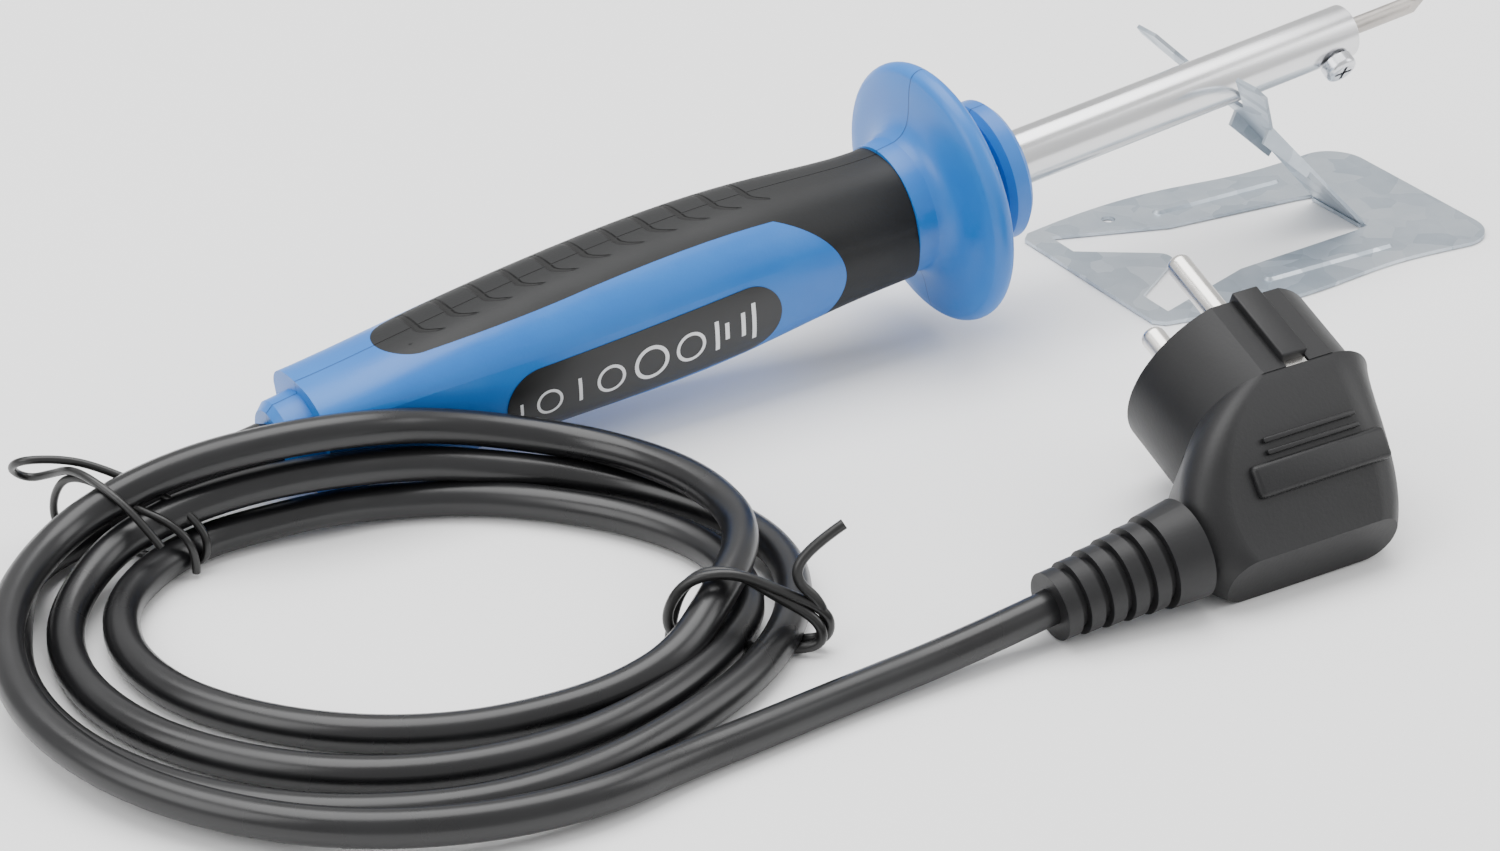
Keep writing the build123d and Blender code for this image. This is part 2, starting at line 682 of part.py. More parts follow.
def main():
    iron = {}
    iron.update(handle_pieces())
    iron.update(barrel_pieces())
    iron.update(wiring())
    iron["set_screw"] = set_screw()
    iron["shell_screws"] = shell_screws()
    iron["cord_clamp"], iron["clamp_screws"] = cord_clamp()
    for name, shape in iron.items():
        placed = [lay(part) for part in shape] if isinstance(shape, list) else lay(shape)
        save(name, placed)
    save("strain_relief_boot", boot())
    save("cord_jacket_end", inner_cord())
    for name, piece in stand().items():
        save(name, piece)
    save("cord_coil", coil())
    save("cord_lead", tube_along(LEAD_ROUTE, "lead"))
    save("cord_tail", tube_along(TAIL_ROUTE, "tail"))
    for side, (angle, reach) in TIES.items():
        save(f"twist_tie_{side}", tie(angle, reach))
    pins, contacts = plug_metal()
    save("plug_body", plug_body())
    save("plug_pins", pins)
    save("plug_earth_contacts", contacts)


main()
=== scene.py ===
import math

import bpy
from mathutils import Matrix, Vector


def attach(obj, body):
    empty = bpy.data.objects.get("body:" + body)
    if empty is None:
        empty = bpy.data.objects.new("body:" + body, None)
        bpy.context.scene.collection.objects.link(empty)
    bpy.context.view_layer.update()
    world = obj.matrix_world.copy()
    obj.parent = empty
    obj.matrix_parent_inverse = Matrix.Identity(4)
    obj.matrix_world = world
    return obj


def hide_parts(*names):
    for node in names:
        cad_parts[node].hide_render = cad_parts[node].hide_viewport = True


# A mains soldering iron lying on its pressed sheet stand, with its cord coiled beside the handle.
# Metres. +X runs from the cord to the tip, +Y is the handle's left, +Z is up, the floor is Z = 0.

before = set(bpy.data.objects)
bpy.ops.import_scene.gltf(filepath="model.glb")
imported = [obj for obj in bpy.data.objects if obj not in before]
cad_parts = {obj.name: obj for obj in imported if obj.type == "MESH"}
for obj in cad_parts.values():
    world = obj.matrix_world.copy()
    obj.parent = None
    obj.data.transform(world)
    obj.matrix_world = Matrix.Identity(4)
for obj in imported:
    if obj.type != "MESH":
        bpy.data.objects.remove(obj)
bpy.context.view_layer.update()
MM = 0.001

# ---- how the iron lies: same frame as the solid model ----
FORK = Vector((94.0, 0.0, 38.2)) * MM
SLOPE = math.radians(7.26)
ALONG = Vector((math.cos(SLOPE), 0.0, math.sin(SLOPE)))
ABOVE = Vector((-math.sin(SLOPE), 0.0, math.cos(SLOPE)))
IRON = Matrix.Translation(FORK) @ Matrix.Rotation(-SLOPE, 4, "Y")

# ---- cord, in millimetres, the solid model's route ----
CORD_D = 6.5
BOOT_END = (-150.0, 0.0, 5.1)
LEAD = [BOOT_END, (-156.0, 0.0, 3.5), (-163.5, -2.6, 3.3), (-169.6, -8.4, 3.25)]
TAIL = [
    (-99.0, -116.6, 3.25), (-84.0, -115.2, 3.25), (-66.0, -113.2, 3.3), (-42.0, -112.0, 4.1),
    (-23.6, -111.4, 6.4),
]
COIL_MIDDLE = (-115.0, -51.0)
COIL_TURN = math.radians(-30.9)

# The coil's turns as it lies: across, deep and height from its middle, on its own turned axes.
FIRST_TURN = [
    (-67.5, -6, 3.25), (-64.5, -22, 3.25), (-56, -38, 3.25), (-42, -51.5, 3.25), (-24, -60.5, 3.25),
    (-4, -63.6, 3.25), (17, -60.5, 3.25), (34, -51, 3.25), (48, -37, 3.25), (60.5, -19.5, 3.25),
    (66.5, 0, 3.25), (65, 18, 3.25), (55, 32, 3.5), (41, 40, 4.2), (27, 43.6, 5.2),
    (13, 42.4, 7.6), (-2, 40, 10.2), (-20, 30.6, 13.0), (-33.5, 27, 11.4), (-45, 21, 9.6),
    (-54, 13.2, 7.0),
]
SECOND_TURN = [
    (-59, -3, 4.4), (-56.5, -18, 3.25), (-47.5, -33, 3.25), (-33, -44.5, 3.25), (-15, -51.2, 3.25),
    (4, -52.2, 3.25), (21, -47.5, 3.25), (35.5, -38.5, 3.25), (48.5, -24, 3.25), (57.8, -5, 3.25),
    (57.4, 9, 3.25), (50.5, 22, 3.25), (38.5, 31, 3.25), (24, 36.6, 3.25), (8, 39.4, 3.25),
    (-8, 37.2, 3.5), (-18, 32.2, 4.8), (-29, 28.4, 3.8), (-38.8, 23.4, 3.25), (-46.2, 14, 3.25),
]
THIRD_TURN = [
    (-50.4, 0, 3.25), (-47, -15, 3.25), (-37.5, -27.5, 3.25), (-23, -36, 3.25), (-6, -40.2, 3.25),
    (11, -39.4, 3.25), (26, -34, 3.4), (38, -27, 4.0), (47, -19.5, 6.4), (53, -6, 9.8),
    (57, 8, 10.4), (56, 21, 10.6), (47.5, 33, 11.4), (33.5, 43.5, 11.0), (18, 46.6, 12.4),
    (2, 42.6, 16.4), (-10, 35.2, 19.8), (-24, 28.6, 20.9), (-38.6, 25.4, 18.6), (-51.4, 21, 14.8),
    (-61.5, 12.6, 11.2),
]
LAST_TURN = [
    (-67, -5, 10.0), (-66, -23, 9.0), (-58.4, -41, 7.3), (-43, -56.4, 6.0), (-24, -66.2, 5.4),
    (-4, -70.4, 5.2), (17, -68.2, 5.0), (35, -59.8, 4.3),
]

# ---- moulded lines on the handle, in metres on the iron's own axes ----
# Each grip limit is a middle, half a width and the soft edge past it.
SEAM_HALF = 0.00008
SEAM_SOFT = 0.00014
GROOVE_PITCH = 7.06 * MM
GROOVE_START = 0.18533
GROOVE_HALF = 0.055     # share of the pitch
GROOVE_SOFT = 0.07      # share of the pitch
HOOK_FROM = -0.0012     # grooves bend back from here towards the right-hand side
HOOK_BEND = 320.0
GRIP_ALONG = (-0.1465, 0.0385, 0.0003)
GRIP_ACROSS = (0.0011, 0.0052, 0.0006)
GRIP_ABOVE = (0.020, 0.0095, 0.0008)

# ---- marks on the rating label, in millimetres on the iron's own axes ----
LABEL_SIDE = -20.0      # where a mark starts before it is laid on the label
LABEL_GAP = 0.00005     # metres
LABEL_BARS = (          # start, end, low, high
    (-120.0, -119.1, -7.6, 0.6), (-122.4, -121.5, -6.0, -0.6), (-126.0, -125.1, -5.2, -1.4),
    (-128.2, -127.3, -6.8, -0.2), (-157.4, -156.7, -6.2, -1.0), (-169.4, -168.8, -4.8, -2.2),
)
LABEL_RINGS = (         # middle along, middle height, radius
    (-133.5, -3.6, 3.2), (-142.0, -3.6, 3.7), (-150.6, -3.7, 3.0), (-163.4, -3.8, 2.7),
)
RING_INNER = 0.78       # inner radius as a share of the outer

# ---- plug: its own axes, with the origin on the pin face ----
PLUG = Matrix((
    (-0.999846, -0.0175, 0.0, 0.0353),
    (0.006283, -0.3583, 0.93358, -0.0795),
    (-0.016367, 0.9334, 0.35837, 0.0229),
    (0, 0, 0, 1),
))

PLUG_GUIDES = (         # height, depth, length
    (18.2, -7.4, 16.4), (-17.4, -5.6, 11.6),
)
PLUG_GUIDE_WIDTH = 5.6
PLUG_GUIDE_THICK = 2.6
GRIP_SLOPE = math.radians(59)
GRIP_ACROSS_PLUG = 4.0
PLUG_GRIP_RIBS = ((14.0, -27.9), (12.9, -29.8))

# ---- camera, floor and light ----
CAMERA_PLACE = (-0.34295, -0.5453, 0.3266)
CAMERA_TURN = (math.radians(62.0), 0.0, math.radians(-30.9))
CAMERA_LENS = 87.82
CAMERA_SENSOR = 36.0
FLOOR_GREY = (0.93, 0.93, 0.93, 1)
FLOOR_DROP = -0.0002
SKY_STRENGTH = 0.95
SOFTBOXES = (           # name, place, size, power; all face the origin
    ("overhead", (0.0, 0.25, 1.15), (1.3, 1.0), 21),
    ("left_side", (-1.1, -0.1, 0.75), (0.8, 0.8), 7),
    ("right_side", (0.95, -0.55, 0.65), (0.6, 0.8), 5),
)

# ---- colours used in pairs: a material wanders between the two ----
HANDLE_BLUE = ((0.008, 0.190, 0.66, 1), (0.018, 0.235, 0.74, 1))
GRIP_BLACK = ((0.006, 0.0065, 0.007, 1), (0.010, 0.0105, 0.011, 1))
RUBBER_BLACK = ((0.006, 0.006, 0.0065, 1), (0.010, 0.010, 0.011, 1))
CORD_BLACK = ((0.0045, 0.0045, 0.005, 1), (0.008, 0.008, 0.009, 1))
SPANGLE_GREY = ((0.27, 0.32, 0.37, 1), (0.58, 0.63, 0.68, 1))
SEAM_BLUE = (0.004, 0.08, 0.30, 1)
# painted shade: near-black laid into the grip's grooves to darken the recesses; on the grip it also colours the seam
# line, a dark joint
GROOVE_SHADE_AND_SEAM = (0.001, 0.001, 0.001, 1)


def coil_place(point):
    """A point of the coil's own turned axes, in the shared frame, in millimetres."""
    across, deep, height = point
    x = COIL_MIDDLE[0] + across * math.cos(COIL_TURN) - deep * math.sin(COIL_TURN)
    y = COIL_MIDDLE[1] + across * math.sin(COIL_TURN) + deep * math.cos(COIL_TURN)
    return (x, y, height)


# ---- node helpers ----

def new_material(name):
    material = bpy.data.materials.new(name)
    material.use_nodes = True
    shader = material.node_tree.nodes["Principled BSDF"]
    return material, material.node_tree, shader


def add_node(tree, kind, **values):
    node = tree.nodes.new(kind)
    for key, value in values.items():
        if key in node.inputs:
            node.inputs[key].default_value = value
        else:
            setattr(node, key, value)
    return node


def feed(tree, value, socket):
    """Links a socket into another, or sets a plain value on it."""
    if isinstance(value, bpy.types.NodeSocket):
        tree.links.new(value, socket)
    else:
        socket.default_value = value


def surface_grain():
    """Fine noise for a bump height, and broad noise as a mask for tone and gloss."""
    group = bpy.data.node_groups.new("surface_grain", "ShaderNodeTree")
    face = group.interface
    for name, start in (("Fine Scale", 900.0), ("Broad Scale", 40.0), ("Stretch X", 1.0)):
        face.new_socket(name, in_out="INPUT", socket_type="NodeSocketFloat").default_value = start
    for name in ("Fine", "Broad"):
        face.new_socket(name, in_out="OUTPUT", socket_type="NodeSocketFloat")
    start = group.nodes.new("NodeGroupInput")
    end = group.nodes.new("NodeGroupOutput")
    place = group.nodes.new("ShaderNodeTexCoord")
    stretch = add_node(group, "ShaderNodeCombineXYZ", Y=1.0, Z=1.0)
    scaled = add_node(group, "ShaderNodeVectorMath", operation="MULTIPLY")
    fine = add_node(group, "ShaderNodeTexNoise", Detail=4.0, Roughness=0.6)
    broad = add_node(group, "ShaderNodeTexNoise", Detail=3.0, Roughness=0.55)
    links = group.links
    links.new(start.outputs["Stretch X"], stretch.inputs["X"])
    links.new(place.outputs["Object"], scaled.inputs[0])
    links.new(stretch.outputs[0], scaled.inputs[1])
    for texture in (fine, broad):
        links.new(scaled.outputs[0], texture.inputs["Vector"])
    links.new(start.outputs["Fine Scale"], fine.inputs["Scale"])
    links.new(start.outputs["Broad Scale"], broad.inputs["Scale"])
    links.new(fine.outputs[0], end.inputs["Fine"])
    links.new(broad.outputs[0], end.inputs["Broad"])
    return group


def moulded_lines():
    """Masks on the handle: the seam between its halves, and the grooves across the grip's ridge."""
    group = bpy.data.node_groups.new("moulded_lines", "ShaderNodeTree")
    for name in ("Seam", "Grooves"):
        group.interface.new_socket(name, in_out="OUTPUT", socket_type="NodeSocketFloat")
    end = group.nodes.new("NodeGroupOutput")
    links = group.links

    def step(operation, *values):
        node = add_node(group, "ShaderNodeMath", operation=operation)
        for value, socket in zip(values, node.inputs):
            feed(group, value, socket)
        return node.outputs[0]

    def band(value, half, soft):
        """1 inside half a width of zero, falling to 0 over the soft edge."""
        node = add_node(group, "ShaderNodeMapRange", interpolation_type="SMOOTHSTEP")
        edges = (("From Min", half), ("From Max", half + soft), ("To Min", 1.0), ("To Max", 0.0))
        for name, number in edges:
            node.inputs[name].default_value = number
        links.new(step("ABSOLUTE", value), node.inputs["Value"])
        return node.outputs[0]

    def within(value, limit):
        middle, half, soft = limit
        return band(step("SUBTRACT", value, middle), half, soft)

    def reach(direction):
        """How far a point lies from the fork along one of the iron's axes."""
        across = step("MULTIPLY", parts.outputs["X"], direction.x)
        up = step("MULTIPLY", parts.outputs["Z"], direction.z)
        return step("SUBTRACT", step("ADD", across, up), FORK.dot(direction))

    place = group.nodes.new("ShaderNodeTexCoord")
    parts = group.nodes.new("ShaderNodeSeparateXYZ")
    links.new(place.outputs["Object"], parts.inputs[0])
    along = reach(ALONG)
    above = reach(ABOVE)
    side = parts.outputs["Y"]
    past = step("MAXIMUM", step("SUBTRACT", HOOK_FROM, side), 0.0)
    bent = step("SUBTRACT", along, step("MULTIPLY", step("POWER", past, 2.0), HOOK_BEND))
    turn = step("FRACT", step("DIVIDE", step("ADD", bent, GROOVE_START), GROOVE_PITCH))
    groove = band(step("SUBTRACT", turn, 0.5), GROOVE_HALF, GROOVE_SOFT)
    lengthwise = step("MULTIPLY", groove, within(along, GRIP_ALONG))
    crosswise = step("MULTIPLY", within(side, GRIP_ACROSS), within(above, GRIP_ABOVE))
    links.new(band(side, SEAM_HALF, SEAM_SOFT), end.inputs["Seam"])
    links.new(step("MULTIPLY", lengthwise, crosswise), end.inputs["Grooves"])
    return group


GRAIN = surface_grain()
LINES = moulded_lines()


def grain_node(tree, fine, broad, stretch=1.0):
    node = tree.nodes.new("ShaderNodeGroup")
    node.node_tree = GRAIN
    node.inputs["Fine Scale"].default_value = fine
    node.inputs["Broad Scale"].default_value = broad
    node.inputs["Stretch X"].default_value = stretch
    return node


def mixed_colour(tree, mask, first, second):
    mix = add_node(tree, "ShaderNodeMix", data_type="RGBA")
    for value, socket in ((mask, mix.inputs[0]), (first, mix.inputs[6]), (second, mix.inputs[7])):
        feed(tree, value, socket)
    return mix.outputs[2]


def ranged(tree, value, low, high, start=0.3, end=0.7):
    node = tree.nodes.new("ShaderNodeMapRange")
    node.inputs["From Min"].default_value = start
    node.inputs["From Max"].default_value = end
    node.inputs["To Min"].default_value = low
    node.inputs["To Max"].default_value = high
    tree.links.new(value, node.inputs["Value"])
    return node.outputs[0]


def bumped(tree, shader, height, strength, distance):
    bump = tree.nodes.new("ShaderNodeBump")
    bump.inputs["Strength"].default_value = strength
    bump.inputs["Distance"].default_value = distance
    tree.links.new(height, bump.inputs["Height"])
    tree.links.new(bump.outputs[0], shader.inputs["Normal"])


def toned(name, tones, rough_low, rough_high, fine, broad, stretch=1.0):
    """A material whose colour and roughness wander softly between two values each."""
    material, tree, shader = new_material(name)
    grain = grain_node(tree, fine, broad, stretch)
    mask = grain.outputs["Broad"]
    base = mixed_colour(tree, ranged(tree, mask, 0.0, 1.0), *tones)
    tree.links.new(base, shader.inputs["Base Color"])
    tree.links.new(ranged(tree, mask, rough_low, rough_high), shader.inputs["Roughness"])
    return material, tree, shader, base, grain.outputs["Fine"]


def plastic(name, colour, second, rough, grain=1400.0, bump=0.25, specular=0.5, depth=0.00012):
    """Moulded plastic or rubber: a spark-finish grain and slight mottling."""
    material, tree, shader, _, fine = toned(name, (colour, second), rough - 0.05, rough + 0.06, grain, 55.0)
    shader.inputs["Specular IOR Level"].default_value = specular
    bumped(tree, shader, fine, bump, depth)
    return material


def lined_plastic(name, tones, rough, line_colour, grooves, grain, bump, specular=0.5):
    """Handle plastic with its mould seam, and grooves where asked; line_colour fills both, and in the grooves it is
    painted shade.
    """
    material, tree, shader, base, fine = toned(name, tones, rough - 0.05, rough + 0.06, grain, 48.0)
    shader.inputs["Specular IOR Level"].default_value = specular
    lines = add_node(tree, "ShaderNodeGroup", node_tree=LINES)
    cut = add_node(tree, "ShaderNodeMath", operation="MAXIMUM")
    feed(tree, lines.outputs["Seam"], cut.inputs[0])
    if grooves:
        feed(tree, lines.outputs["Grooves"], cut.inputs[1])
    # the seam and grooves take line_colour; on the soft grip this darkens the grooves with painted shade
    lined = mixed_colour(tree, cut.outputs[0], base, line_colour)
    tree.links.new(lined, shader.inputs["Base Color"])
    soft = add_node(tree, "ShaderNodeMath", operation="MULTIPLY")
    height = add_node(tree, "ShaderNodeMath", operation="SUBTRACT")
    for value, socket in ((fine, soft.inputs[0]), (bump, soft.inputs[1]),
                          (soft.outputs[0], height.inputs[0]), (cut.outputs[0], height.inputs[1])):
        feed(tree, value, socket)
    bumped(tree, shader, height.outputs[0], 1.0, 0.0006)
    return material


def metal(name, colour, second, rough_low, rough_high, fine=700.0, broad=60.0, stretch=1.0, bump=0.1,
          depth=0.00005):
    """Bare or plated metal with uneven tone and gloss; a low stretch draws streaks along X."""
    material, tree, shader, _, grain = toned(name, (colour, second), rough_low, rough_high, fine, broad, stretch)
    shader.inputs["Metallic"].default_value = 1.0
    bumped(tree, shader, grain, bump, depth)
    return material


def galvanised():
    """Zinc coated sheet: cloudy spangle flakes, each a little lighter or darker, with soft gloss."""
    material, tree, shader = new_material("galvanised")
    place = tree.nodes.new("ShaderNodeTexCoord")
    warp = add_node(tree, "ShaderNodeTexNoise", Scale=60.0, Detail=3.0)
    bend = add_node(tree, "ShaderNodeVectorMath", operation="MULTIPLY_ADD")
    bend.inputs[1].default_value = (0.006, 0.006, 0.006)
    flakes = add_node(tree, "ShaderNodeTexVoronoi", Scale=150.0)
    cloud = add_node(tree, "ShaderNodeTexNoise", Scale=42.0, Detail=4.0, Roughness=0.6)
    grey = add_node(tree, "ShaderNodeSeparateColor")
    both = add_node(tree, "ShaderNodeMath", operation="MULTIPLY_ADD")
    both.inputs[1].default_value = 0.45
    links = tree.links
    links.new(place.outputs["Object"], warp.inputs["Vector"])
    links.new(place.outputs["Object"], cloud.inputs["Vector"])
    links.new(warp.outputs[1], bend.inputs[0])
    links.new(place.outputs["Object"], bend.inputs[2])
    links.new(bend.outputs[0], flakes.inputs["Vector"])
    links.new(flakes.outputs["Color"], grey.inputs[0])
    links.new(grey.outputs[0], both.inputs[0])
    links.new(cloud.outputs[0], both.inputs[2])
    base = mixed_colour(tree, ranged(tree, both.outputs[0], 0.0, 1.0, 0.35, 1.05), *SPANGLE_GREY)
    links.new(base, shader.inputs["Base Color"])
    links.new(ranged(tree, both.outputs[0], 0.50, 0.30, 0.35, 1.05), shader.inputs["Roughness"])
    shader.inputs["Metallic"].default_value = 0.85
    bumped(tree, shader, both.outputs[0], 0.10, 0.0002)
    return material


def cord_rubber():
    """Extruded cord jacket: glossy black with a faint grain."""
    material, tree, shader, _, fine = toned("cord_rubber", CORD_BLACK, 0.24, 0.36, 500.0, 45.0)
    bumped(tree, shader, fine, 0.12, 0.0001)
    return material


def make_finishes():
    return {
        "galvanised": galvanised(),
        "tip_plating": metal("tip_plating", (0.33, 0.31, 0.29, 1), (0.50, 0.47, 0.44, 1), 0.28, 0.46,
                             900, 160, 0.5, 0.2),
        "zinc": metal("bright_zinc", (0.58, 0.59, 0.62, 1), (0.74, 0.75, 0.78, 1), 0.20, 0.36),
        "barrel": metal("polished_tube", (0.60, 0.60, 0.61, 1), (0.80, 0.80, 0.81, 1), 0.15, 0.28,
                        260.0, 130.0, 0.06, 0.08, 0.00004),
        "steel": metal("plain_steel", (0.42, 0.42, 0.43, 1), (0.56, 0.56, 0.57, 1), 0.30, 0.48),
        "mica": plastic("mica_sheet", (0.42, 0.36, 0.26, 1), (0.55, 0.49, 0.38, 1), 0.35),
        "resistance_wire": metal("resistance_wire", (0.35, 0.33, 0.31, 1), (0.45, 0.43, 0.40, 1), 0.35, 0.5),
        "ceramic": plastic("ceramic", (0.72, 0.69, 0.62, 1), (0.78, 0.76, 0.70, 1), 0.6),
        "sleeving": plastic("glass_sleeving", (0.70, 0.69, 0.64, 1), (0.78, 0.77, 0.73, 1), 0.75),
        "brass": metal("brass", (0.66, 0.48, 0.20, 1), (0.76, 0.58, 0.28, 1), 0.28, 0.42),
        "brown_core": plastic("brown_core", (0.11, 0.045, 0.02, 1), (0.14, 0.06, 0.03, 1), 0.42),
        "blue_core": plastic("blue_core", (0.01, 0.10, 0.42, 1), (0.02, 0.13, 0.50, 1), 0.42),
        "earth_core": plastic("earth_core", (0.20, 0.42, 0.05, 1), (0.55, 0.55, 0.04, 1), 0.42),
        "black_plastic": plastic("black_plastic", (0.018, 0.018, 0.019, 1), (0.026, 0.026, 0.028, 1), 0.42),
        "cord_jacket": cord_rubber(),
        "blue_plastic": lined_plastic("blue_plastic", HANDLE_BLUE, 0.36, SEAM_BLUE, False, 1500.0, 0.03),
        # the grip's grooves are bumped in and also darkened with painted shade
        "soft_grip": lined_plastic("soft_grip", GRIP_BLACK, 0.50, GROOVE_SHADE_AND_SEAM, True, 1700.0, 0.05, 0.30),
        "label": plastic("label_film", (0.004, 0.004, 0.004, 1), (0.006, 0.006, 0.006, 1), 0.32, 900.0, 0.04),
        "boot_rubber": plastic("boot_rubber", *RUBBER_BLACK, 0.46, 1300.0, 0.22, specular=0.35),
        "tie_plastic": plastic("tie_plastic", (0.005, 0.005, 0.005, 1), (0.009, 0.009, 0.009, 1), 0.32),
        "plug_rubber": plastic("plug_rubber", *RUBBER_BLACK, 0.46, 1300.0, 0.22, specular=0.35),
        "nickel": metal("nickel_plate", (0.62, 0.60, 0.57, 1), (0.76, 0.74, 0.71, 1), 0.16, 0.30, 600, 90, 0.4),
    }


FINISH = make_finishes()

NODE_FINISH = {
    "stand_plate": "galvanised", "stand_stem": "galvanised", "stand_arm_left": "galvanised",
    "stand_arm_right": "galvanised", "tip": "tip_plating", "set_screw": "zinc", "barrel_tube": "barrel",
    "tip_bush": "steel", "bit_sleeve": "steel", "inner_mica": "mica", "heater_winding": "resistance_wire",
    "outer_mica": "mica", "rear_bush": "ceramic", "tube_flange": "steel", "heat_baffle": "mica",
    "live_lead": "sleeving", "neutral_lead": "sleeving", "earth_lead": "sleeving", "terminal_block": "ceramic",
    "terminal_screws": "brass", "live_core": "brown_core", "neutral_core": "blue_core", "earth_core": "earth_core",
    "cord_clamp": "black_plastic", "clamp_screws": "zinc", "cord_jacket_end": "cord_jacket",
    "handle_shell_left": "blue_plastic", "handle_shell_right": "blue_plastic", "grip_left": "soft_grip",
    "grip_right": "soft_grip", "rating_label": "label", "shell_screws": "zinc", "strain_relief_boot": "boot_rubber",
    "plug_body": "plug_rubber", "plug_pins": "nickel", "plug_earth_contacts": "nickel",
}


def finish_nodes():
    for name, finish in NODE_FINISH.items():
        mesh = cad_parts[name].data
        mesh.materials.clear()
        mesh.materials.append(FINISH[finish])


# ---- cord and ties ----

def round_curve(name, points, diameter, finish, resolution=10):
    """A round NURBS run through guide points in millimetres."""
    data = bpy.data.curves.new(name, "CURVE")
    data.dimensions = "3D"
    data.resolution_u = resolution
    data.bevel_depth = diameter / 2 * MM
    data.bevel_resolution = 5
    data.use_fill_caps = True
    spline = data.splines.new("NURBS")
    spline.points.add(len(points) - 1)
    for guide, point in zip(spline.points, points):
        guide.co = (*(value * MM for value in point), 1.0)
    spline.order_u = 3
    spline.use_endpoint_u = True
    data.materials.append(FINISH[finish])
    piece = bpy.data.objects.new(name, data)
    bpy.context.scene.collection.objects.link(piece)
    return piece


def make_cord():
    turns = FIRST_TURN + SECOND_TURN + THIRD_TURN + LAST_TURN
    route = LEAD + [coil_place(point) for point in turns] + TAIL
    cord = round_curve("mains_cord", route, CORD_D, "cord_jacket")
    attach(cord, "iron")
    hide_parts("cord_lead", "cord_coil", "cord_tail")
    return cord


LEFT_TIE = [
    (42.5, 0.5, 1.0), (41.8, 1.0, 6.0), (46.0, 1.6, 10.6), (53.0, 2.2, 12.6), (61.0, 2.4, 16.4), (67.5, 1.8, 15.6),
    (71.5, 0.6, 9.0), (71.6, -0.6, 2.5), (66.0, -1.4, 0.8), (52.0, -1.8, 0.8), (42.0, -1.4, 1.4), (41.0, -2.2, 7.0),
    (47.0, -3.0, 11.8), (55.0, -2.8, 14.4), (63.0, -0.6, 17.6), (68.0, 2.0, 19.0), (73.5, 6.0, 19.6), (77.5, 4.0, 16.0),
    (76.0, 0.6, 12.6), (71.0, 0.4, 14.6), (65.0, 3.0, 18.2), (58.0, 5.4, 18.0), (50.0, 6.6, 14.0), (45.0, 7.0, 8.8),
]
RIGHT_TIE = [
    (45.0, 0.0, 1.0), (45.4, 0.8, 7.0), (49.0, 1.4, 13.4), (56.0, 1.2, 14.6), (63.0, 0.6, 10.6), (71.0, 0.2, 6.6),
    (71.4, -0.4, 1.4), (60.0, -1.0, 0.9), (46.5, -1.2, 0.9), (44.2, -1.6, 6.4), (48.0, -1.6, 13.8), (56.0, -0.6, 15.4),
    (64.0, 0.6, 11.6), (72.4, 1.6, 7.6), (72.0, 2.2, 1.6), (66.0, 2.6, 0.9), (72.0, 2.4, 2.0), (71.0, 1.4, 9.4),
    (66.0, 0.8, 14.0), (68.0, 3.0, 18.6), (74.0, 6.0, 22.4),
]


def make_tie(name, node, angle, points, diameter):
    """A tie wound twice round the bundle; points are reach, sideways and height on the tie's own axes."""
    turn = math.radians(angle)
    placed = []
    for reach, sideways, height in points:
        across = reach * math.cos(turn) - sideways * math.sin(turn)
        deep = reach * math.sin(turn) + sideways * math.cos(turn)
        placed.append(coil_place((across, deep, height)))
    tie = round_curve(name, placed, diameter, "tie_plastic", 8)
    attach(tie, "iron")
    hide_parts(node)


# ---- marks on the label ----

def settle(piece):
    """Lays a flat piece onto the label along Y, and has it ride with it."""
    wrap = piece.modifiers.new("wrap", "SHRINKWRAP")
    wrap.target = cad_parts["rating_label"]
    wrap.wrap_method = "PROJECT"
    wrap.use_project_x = False
    wrap.use_project_y = True
    wrap.use_project_z = False
    wrap.use_negative_direction = True
    wrap.use_positive_direction = True
    wrap.offset = LABEL_GAP
    bpy.context.view_layer.objects.active = piece
    bpy.ops.object.modifier_apply(modifier=wrap.name)
    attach(piece, "iron")


def label_place(along, height):
    """Stands a flat piece upright beside the label, at a place on the iron's own axes."""
    upright = Matrix.Rotation(math.radians(90), 4, "X")
    return IRON @ Matrix.Translation(Vector((along, LABEL_SIDE, height)) * MM) @ upright


def label_marks():
    """Plain bars and rings in place of print, white on the rating label."""
    ink = plastic("label_ink", (0.74, 0.75, 0.76, 1), (0.80, 0.80, 0.81, 1), 0.45, 900.0, 0.05)
    for number, (start, end, low, high) in enumerate(LABEL_BARS, 1):
        bpy.ops.object.select_all(action="DESELECT")
        bpy.ops.mesh.primitive_grid_add(x_subdivisions=4, y_subdivisions=16, size=1.0)
        bar = bpy.context.active_object
        bar.name = f"label_bar_{number}"
        size = Matrix.Diagonal(((end - start) * MM, (high - low) * MM, 1.0, 1.0))
        bar.data.transform(label_place((start + end) / 2, (low + high) / 2) @ size)
        bar.data.materials.append(ink)
        settle(bar)
    for number, (at, height, radius) in enumerate(LABEL_RINGS, 1):
        bpy.ops.object.select_all(action="DESELECT")
        bpy.ops.mesh.primitive_circle_add(vertices=40, radius=radius * MM)
        bpy.ops.object.mode_set(mode="EDIT")
        bpy.ops.mesh.select_all(action="SELECT")
        bpy.ops.mesh.extrude_region_move()
        bpy.ops.transform.resize(value=(RING_INNER, RING_INNER, 1.0), center_override=(0, 0, 0))
        bpy.ops.object.mode_set(mode="OBJECT")
        ring = bpy.context.active_object
        ring.name = f"label_ring_{number}"
        ring.data.transform(label_place(at, height))
        ring.data.materials.append(ink)
        settle(ring)


# ---- plug details ----

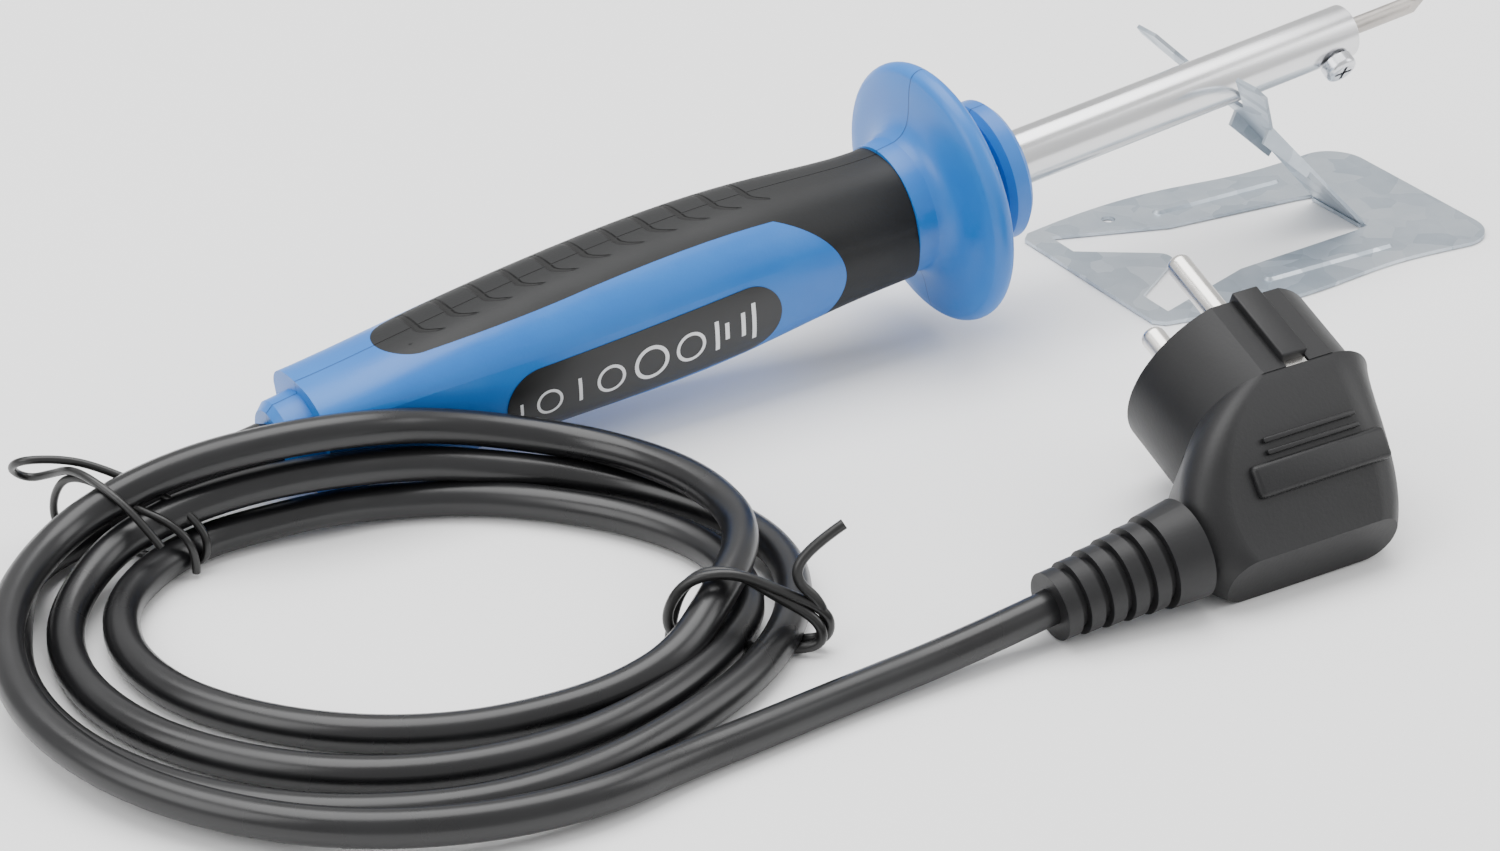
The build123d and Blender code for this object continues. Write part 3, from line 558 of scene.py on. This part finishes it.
def soft_block(name, place, size, bevel):
    """A rounded block on the plug's axes, in millimetres."""
    bpy.ops.object.select_all(action="DESELECT")
    bpy.ops.mesh.primitive_cube_add(size=1.0)
    block = bpy.context.active_object
    block.name = name
    block.data.transform(Matrix.Diagonal((*(value * MM for value in size), 1.0)))
    edge = block.modifiers.new("edge", "BEVEL")
    edge.width = bevel * MM
    edge.segments = 4
    edge.limit_method = "NONE"
    bpy.ops.object.modifier_apply(modifier=edge.name)
    bpy.ops.object.shade_smooth_by_angle(angle=math.radians(40))
    block.data.transform(PLUG @ place)
    block.data.materials.append(FINISH["plug_rubber"])
    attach(block, "iron")


def plug_details():
    """Guide ribs over the earth contacts, and the finger grip on the plug's back."""
    def at(across, height, depth):
        return Matrix.Translation(Vector((across, height, depth)) * MM)

    for number, (height, depth, length) in enumerate(PLUG_GUIDES, 1):
        size = (PLUG_GUIDE_WIDTH, PLUG_GUIDE_THICK, length)
        soft_block(f"plug_guide_{number}", at(0.0, height, depth), size, 0.35)
    slope = Matrix.Rotation(GRIP_SLOPE, 4, "X")
    soft_block("plug_finger_grip", at(GRIP_ACROSS_PLUG, 10.6, -33.6) @ slope, (29.0, 6.0, 2.2), 1.05)
    for number, (height, depth) in enumerate(PLUG_GRIP_RIBS, 1):
        place = at(GRIP_ACROSS_PLUG, height, depth) @ slope
        soft_block(f"plug_grip_rib_{number}", place, (20.0, 0.9, 1.4), 0.3)


# ---- camera, floor and light ----

def softbox(name, place, size, power):
    light = bpy.data.lights.new(name, "AREA")
    light.shape = "RECTANGLE"
    light.size, light.size_y = size
    light.energy = power
    lamp = bpy.data.objects.new(name, light)
    lamp.location = place
    lamp.rotation_euler = (Vector((0, 0, 0)) - Vector(place)).to_track_quat("-Z", "Y").to_euler()
    bpy.context.scene.collection.objects.link(lamp)


def studio():
    camera_data = bpy.data.cameras.new("camera")
    camera_data.sensor_width = CAMERA_SENSOR
    camera_data.lens = CAMERA_LENS
    camera = bpy.data.objects.new("camera", camera_data)
    camera.location = CAMERA_PLACE
    camera.rotation_euler = CAMERA_TURN
    bpy.context.scene.collection.objects.link(camera)
    bpy.context.scene.camera = camera

    bpy.ops.object.select_all(action="DESELECT")
    bpy.ops.mesh.primitive_plane_add(size=12.0, location=(0, 0, FLOOR_DROP))
    floor = bpy.context.active_object
    floor.name = "floor"
    material, _, shader = new_material("pale_floor")
    shader.inputs["Base Color"].default_value = FLOOR_GREY
    shader.inputs["Roughness"].default_value = 0.9
    floor.data.materials.append(material)

    for box in SOFTBOXES:
        softbox(*box)

    world = bpy.data.worlds.new("studio")
    world.use_nodes = True
    world.node_tree.nodes["Background"].inputs[0].default_value = (1, 1, 1, 1)
    world.node_tree.nodes["Background"].inputs[1].default_value = SKY_STRENGTH
    bpy.context.scene.world = world


studio()
finish_nodes()
cord = make_cord()
make_tie("left_tie_wire", "twist_tie_left", 157.0, LEFT_TIE, 1.5)
make_tie("right_tie_band", "twist_tie_right", -8.0, RIGHT_TIE, 1.9)
label_marks()
plug_details()
